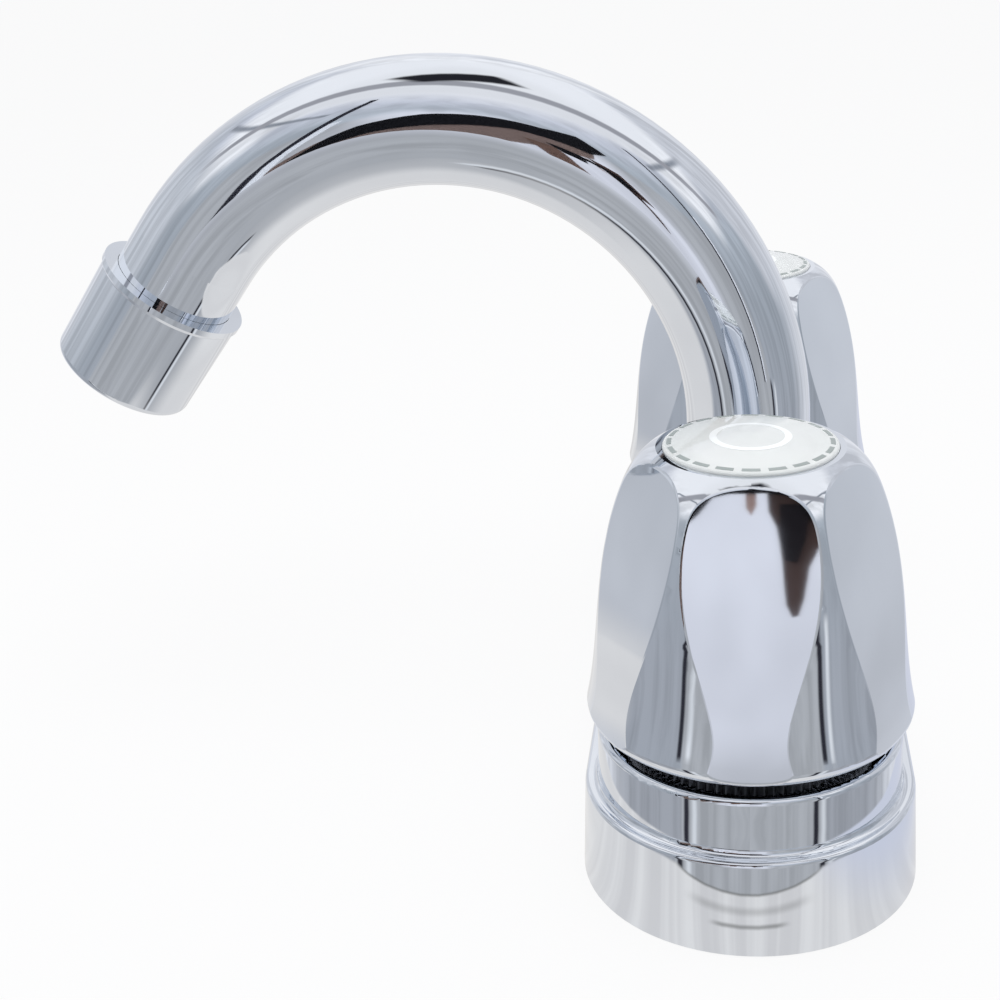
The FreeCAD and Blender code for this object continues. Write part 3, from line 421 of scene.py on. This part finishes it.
# Cards by the camera, which shows none of them itself: name, x and colour, then corners (y, z),
# in metres.
CARDS = [
    ("left_upright", 0.224, BLACK_POLE,
     [(-0.172, 0.008), (-0.161, 0.008), (-0.161, 0.360), (-0.172, 0.360)]),
    ("left_strip", 0.224, WHITE_STRIP,
     [(-0.161, 0.008), (-0.150, 0.008), (-0.150, 0.200), (-0.161, 0.200)]),
    ("right_upright", 0.216, BLACK_POLE,
     [(0.168, 0.008), (0.180, 0.008), (0.180, 0.360), (0.168, 0.360)]),
    ("right_strip", 0.216, WHITE_STRIP,
     [(0.180, 0.008), (0.192, 0.008), (0.192, 0.200), (0.180, 0.200)]),
    ("warm_card", 0.302, (0.22, 0.16, 0.14),
     [(-0.205, -0.010), (-0.125, 0.030), (-0.080, 0.070), (-0.030, 0.115), (0.020, 0.160),
      (0.040, 0.200), (-0.060, 0.190), (-0.150, 0.120), (-0.200, 0.050)]),
    ("dark_card", 0.300, BLACK_FELT,
     [(-0.170, 0.060), (-0.130, 0.095), (-0.085, 0.118), (-0.045, 0.160), (0.030, 0.186),
      (0.075, 0.235), (0.060, 0.285), (0.000, 0.240), (-0.060, 0.222), (-0.105, 0.200),
      (-0.145, 0.150)]),
    ("hand_card", 0.301, (0.075, 0.048, 0.042),
     [(0.0063, 0.150), (0.0063, 0.126), (0.0068, 0.114), (0.0089, 0.105), (0.0097, 0.096),
      (0.0103, 0.086), (0.0108, 0.072), (0.0113, 0.061), (0.0129, 0.054), (0.0145, 0.055),
      (0.0160, 0.064), (0.0175, 0.082), (0.0205, 0.094), (0.0380, 0.098), (0.0380, 0.150)]),
    ("small_card", 0.299, (0.015, 0.013, 0.015),
     [(0.0097, 0.118), (0.0097, 0.100), (0.0108, 0.086), (0.0142, 0.084), (0.0165, 0.097),
      (0.0180, 0.118)]),
    ("finger_card", 0.299, (0.34, 0.22, 0.18),
     [(0.0006, 0.150), (0.0006, 0.116), (0.0020, 0.111), (0.0034, 0.117), (0.0034, 0.150)]),
    ("arch_card", 0.298, BLACK_FELT,
     [(-0.0300, 0.106), (-0.0150, 0.106), (-0.0122, 0.1115), (-0.0085, 0.1213),
      (-0.0040, 0.1236), (0.0060, 0.1241), (0.0145, 0.1220), (0.0172, 0.1120),
      (0.0195, 0.106), (0.0300, 0.106), (0.0300, 0.136), (-0.0300, 0.136)]),
    ("left_sliver", 0.299, (0.16, 0.10, 0.08),
     [(-0.050, 0.050), (-0.034, 0.060), (-0.030, 0.118), (-0.050, 0.118)]),
]

FLOOR_SIZE = 6.0
FLOOR_COLOUR = (0.82, 0.82, 0.83)
FLOOR_GLOW = 0.88

# A glowing sheet just above the floor, which only reflections show, in metres: in the mirror
# finish it stands for the floor, as a painted reflection of a lit floor. Its light patch keeps one
# reach off the line between the valves, and widens to its sides.
GROUND_SIZE = 0.30
GROUND_HEIGHT = 0.0002
GROUND_STRENGTH = 0.95
PATCH_REACH = 0.0405
PATCH_SOFT = 0.0005
PATCH_WIDENING = 0.0050
PATCH_HALF_WIDTH = 0.027

# Streaks that fan out on the patch from a point this far past the valve.
STREAK_FOCUS = 0.0145
STREAK_SCALE = 5.0
STREAK_EDGE = (0.5, 0.14)
STREAK_TONES = ((0.76, 0.745, 0.74), (0.90, 0.885, 0.87))

# The patch's right side is cooler, past this place and softness in y.
COOL_EDGE = (0.030, 0.012)
COOL_TONE = (0.71, 0.735, 0.84)

# Dark lines on the patch, painted dark reflections: reach, half width, length to each side and
# strength.
PATCH_LINES = [
    (PATCH_REACH, 0.0005, 0.026, 0.90),
    (0.0358, 0.0009, 0.016, 0.30),
    (0.0318, 0.0005, 0.008, 0.60),
]
LINE_TONE = (0.14, 0.14, 0.13)

# A softer patch beneath the spout, and one farther out in front. Each ends at an x.
SPOUT_PATCH_Y = -0.04
SPOUT_PATCH_HALF_WIDTH = 0.12
SPOUT_PATCH_END = 0.012
SPOUT_PATCH_SOFT = 0.04
FRONT_PATCH_Y = (-0.078, -0.150)
FRONT_PATCH_END = 0.060
FRONT_PATCH_SOFT = 0.010

LAMP_PLACE = (0.15, 0, 0.6)
LAMP_TILT = 14
LAMP_WIDTH = 0.5
LAMP_POWER = 1.7


def heading(azimuth, elevation):
    """Unit vector to a place on the sky."""
    a, e = math.radians(azimuth), math.radians(elevation)
    return Vector((math.cos(e) * math.cos(a), math.cos(e) * math.sin(a), math.sin(e)))


def square(half, height):
    return [(-half, -half, height), (half, -half, height), (half, half, height),
            (-half, half, height)]


def staged(name, corners):
    """Flat sheet of the studio, with a material of its own."""
    mesh = bpy.data.meshes.new(name)
    mesh.from_pydata(corners, [], [tuple(range(len(corners)))])
    made = bpy.data.objects.new(name, mesh)
    bpy.context.collection.objects.link(made)
    material = bpy.data.materials.new(name)
    material.use_nodes = True
    mesh.materials.append(material)
    return made, Tree(material.node_tree)


def floor():
    """Plain pale floor, which renders near white to the camera and keeps the shadow."""
    made, tree = staged("floor", square(FLOOR_SIZE, 0))
    made.visible_glossy = False
    ray = tree.node("ShaderNodeLightPath").outputs["Is Camera Ray"]
    paint = tree.node("ShaderNodeBsdfDiffuse", {"Color": opaque(FLOOR_COLOUR)})
    glow = tree.node("ShaderNodeEmission", {"Color": opaque((1.0, 1.0, 1.0)), "Strength": 1.0})
    shader = tree.node("ShaderNodeMixShader", {0: tree.math("MULTIPLY", ray, FLOOR_GLOW),
                                               1: paint.outputs[0], 2: glow.outputs[0]})
    tree.node("ShaderNodeOutputMaterial", {"Surface": shader.outputs[0]})


def patch_reach(tree, past, across, aside):
    """Distance from the line between the valves, less the widening at the sides."""
    offset = tree.node("ShaderNodeCombineXYZ", {0: past, 1: across}).outputs["Vector"]
    reach = tree.node("ShaderNodeVectorMath", {0: offset}, operation="LENGTH").outputs["Value"]
    share = tree.math("MINIMUM", tree.math("DIVIDE", aside, PATCH_HALF_WIDTH), 1.0)
    return tree.math("MULTIPLY_ADD", tree.math("MULTIPLY", share, share), -PATCH_WIDENING, reach)


def fan_streaks(tree, past, across):
    ahead = tree.math("SUBTRACT", past, STREAK_FOCUS)
    fan = tree.node("ShaderNodeCombineXYZ", {0: ahead, 1: across}).outputs["Vector"]
    fan = tree.node("ShaderNodeVectorMath", {0: fan}, operation="NORMALIZE").outputs["Vector"]
    made = tree.node("ShaderNodeTexNoise", {"Vector": fan, "Scale": STREAK_SCALE,
                                            "Detail": NOISE_DETAIL})
    return made.outputs["Fac"]


# A glowing sheet that the mirror finish sees in place of the floor: a painted reflection of a lit
# floor, with streaks and dark lines.
def painted_floor_reflection():
    made, tree = staged("painted_floor_reflection", square(GROUND_SIZE, GROUND_HEIGHT))
    for kind in ("camera", "diffuse", "shadow"):
        setattr(made, "visible_" + kind, False)
    place = tree.node("ShaderNodeTexCoord").outputs["Object"]
    along = tree.dot(place, (1, 0, 0))
    across = tree.dot(place, (0, 1, 0))
    aside = tree.math("ABSOLUTE", across)
    beyond = tree.math("SUBTRACT", tree.math("ABSOLUTE", along), VALVE_X * MM)
    past = tree.math("MAXIMUM", beyond, 0.0)
    reach = patch_reach(tree, past, across, aside)
    patch = tree.below(reach, PATCH_REACH, PATCH_SOFT)

    off_centre = tree.apart(across, SPOUT_PATCH_Y)
    under = tree.math("MULTIPLY",
                      tree.below(off_centre, SPOUT_PATCH_HALF_WIDTH, SPOUT_PATCH_SOFT),
                      tree.below(along, SPOUT_PATCH_END, SPOUT_PATCH_SOFT / 2))
    near, far = FRONT_PATCH_Y
    out = tree.math("MULTIPLY", across, -1.0)
    front = tree.math("MULTIPLY", tree.step(out, -near, FRONT_PATCH_SOFT),
                      tree.below(out, -far, FRONT_PATCH_SOFT))
    front = tree.math("MULTIPLY", front, tree.below(along, FRONT_PATCH_END, FRONT_PATCH_SOFT))
    cover = tree.math("MAXIMUM", patch, tree.math("MAXIMUM", under, front))

    streaks = fan_streaks(tree, past, across)
    dark, light = STREAK_TONES
    colour = tree.mix(tree.step(streaks, *STREAK_EDGE), opaque(dark), opaque(light))
    colour = tree.mix(tree.step(across, *COOL_EDGE), colour, opaque(COOL_TONE))
    for radius, half_width, length, strength in PATCH_LINES:
        line = tree.below(tree.apart(reach, radius), half_width, half_width)
        line = tree.math("MULTIPLY", line, strength)
        middle = tree.below(aside, length, length / 4)
        colour = tree.mix(tree.math("MULTIPLY", line, middle), colour, opaque(LINE_TONE))

    # The sheet glows in the painted reflection's colour.
    glow = tree.node("ShaderNodeEmission", {"Color": colour, "Strength": GROUND_STRENGTH})
    clear = tree.node("ShaderNodeBsdfTransparent")
    shader = tree.node("ShaderNodeMixShader", {0: cover, 1: clear.outputs[0],
                                               2: glow.outputs[0]})
    tree.node("ShaderNodeOutputMaterial", {"Surface": shader.outputs[0]})


def cards():
    for name, x, tone, corners in CARDS:
        made, tree = staged(name, [(x, y, z) for y, z in corners])
        made.visible_camera = False
        felt = tree.node("ShaderNodeBsdfDiffuse", {"Color": opaque(tone)})
        tree.node("ShaderNodeOutputMaterial", {"Surface": felt.outputs[0]})


def lamp():
    """Soft overhead light for the parts that aren't mirrors. The mirror finish doesn't show it."""
    data = bpy.data.lights.new("softbox", "AREA")
    data.shape = "DISK"
    data.size = LAMP_WIDTH
    data.energy = LAMP_POWER
    made = bpy.data.objects.new("softbox", data)
    made.location = LAMP_PLACE
    made.rotation_euler = (0, math.radians(LAMP_TILT), 0)
    made.visible_glossy = False
    bpy.context.collection.objects.link(made)


def panel_mask(tree, ray, azimuth, elevation, half_width, half_height, soft):
    """Share of a panel in the direction of a ray, 1 inside and 0 outside."""
    ahead = heading(azimuth, elevation)
    up = heading(azimuth, elevation + 90)
    across = up.cross(ahead)
    depth = tree.dot(ray, ahead)
    mask = tree.step(depth, FACING, FACING)
    for axis, half in ((across, half_width), (up, half_height)):
        reach = tree.math("ABSOLUTE", tree.math("ARCTAN2", tree.dot(ray, axis), depth))
        inside = tree.below(reach, math.radians(half), math.radians(soft))
        mask = tree.math("MULTIPLY", mask, inside)
    return mask


def sky():
    world = bpy.data.worlds.new("studio")
    bpy.context.scene.world = world
    world.use_nodes = True
    tree = Tree(world.node_tree)
    ray = tree.node("ShaderNodeTexCoord").outputs["Generated"]
    height = tree.dot(ray, (0, 0, 1))
    level = tree.math("MULTIPLY_ADD", height, 0.5, 0.5)
    colour = tree.ramp(level, *((share, opaque(tone)) for share, tone in SKY_TONES))
    for _, azimuth, elevation, half_width, half_height, soft, tone in PANELS:
        mask = panel_mask(tree, ray, azimuth, elevation, half_width, half_height, soft)
        colour = tree.mix(mask, colour, opaque(tone))
    stretched = tree.node("ShaderNodeMapping", {"Vector": ray, "Scale": FOLD_STRETCH})
    folds = tree.node("ShaderNodeTexNoise", {"Vector": stretched.outputs["Vector"],
                                             "Scale": FOLD_SCALE, "Detail": NOISE_DETAIL})
    darker, lighter = (tree.shade(colour, amount) for amount in FOLD_SHADES)
    folded = tree.mix(tree.step(folds.outputs["Fac"], *FOLD_EDGE), darker, lighter)
    steep = tree.step(tree.math("ABSOLUTE", height), *FOLD_LIMIT)
    colour = tree.mix(steep, folded, colour)
    seen = tree.node("ShaderNodeLightPath").outputs["Is Camera Ray"]
    colour = tree.mix(seen, colour, opaque((1.0, 1.0, 1.0)))
    back = tree.node("ShaderNodeBackground", {"Color": colour, "Strength": 1.0})
    tree.node("ShaderNodeOutputWorld", {"Surface": back.outputs[0]})


def camera():
    yaw, pitch, roll = (math.radians(a) for a in (CAMERA_YAW, CAMERA_PITCH, CAMERA_ROLL))
    ahead = Vector((-math.cos(pitch) * math.cos(yaw), -math.cos(pitch) * math.sin(yaw),
                    -math.sin(pitch)))
    level = ahead.cross(Vector((0, 0, 1))).normalized()
    upright = level.cross(ahead)
    right = math.cos(roll) * level + math.sin(roll) * upright
    up = math.cos(roll) * upright - math.sin(roll) * level
    data = bpy.data.cameras.new("camera")
    data.sensor_width = SENSOR_WIDTH
    data.lens = FOCAL_PIXELS / FRAME_PIXELS * SENSOR_WIDTH
    data.shift_x = (FRAME_PIXELS / 2 - AXIS_PIXEL[0]) / FRAME_PIXELS
    data.shift_y = (AXIS_PIXEL[1] - FRAME_PIXELS / 2) / FRAME_PIXELS
    data.clip_start = CLIP_START
    made = bpy.data.objects.new("camera", data)
    turn = Matrix((right, up, -ahead)).transposed().to_4x4()
    made.matrix_world = Matrix.Translation(CAMERA_PLACE) @ turn
    bpy.context.collection.objects.link(made)
    bpy.context.scene.camera = made


finish = {slot: surface(slot, **look) for slot, look in LOOKS.items()}
dress_nodes(finish)
shanks(finish)
toothed_nuts(finish)
button_ring_and_dashes()
floor()
sky()
painted_floor_reflection()
lamp()
cards()
camera()
bpy.context.scene.view_settings.view_transform = "Standard"
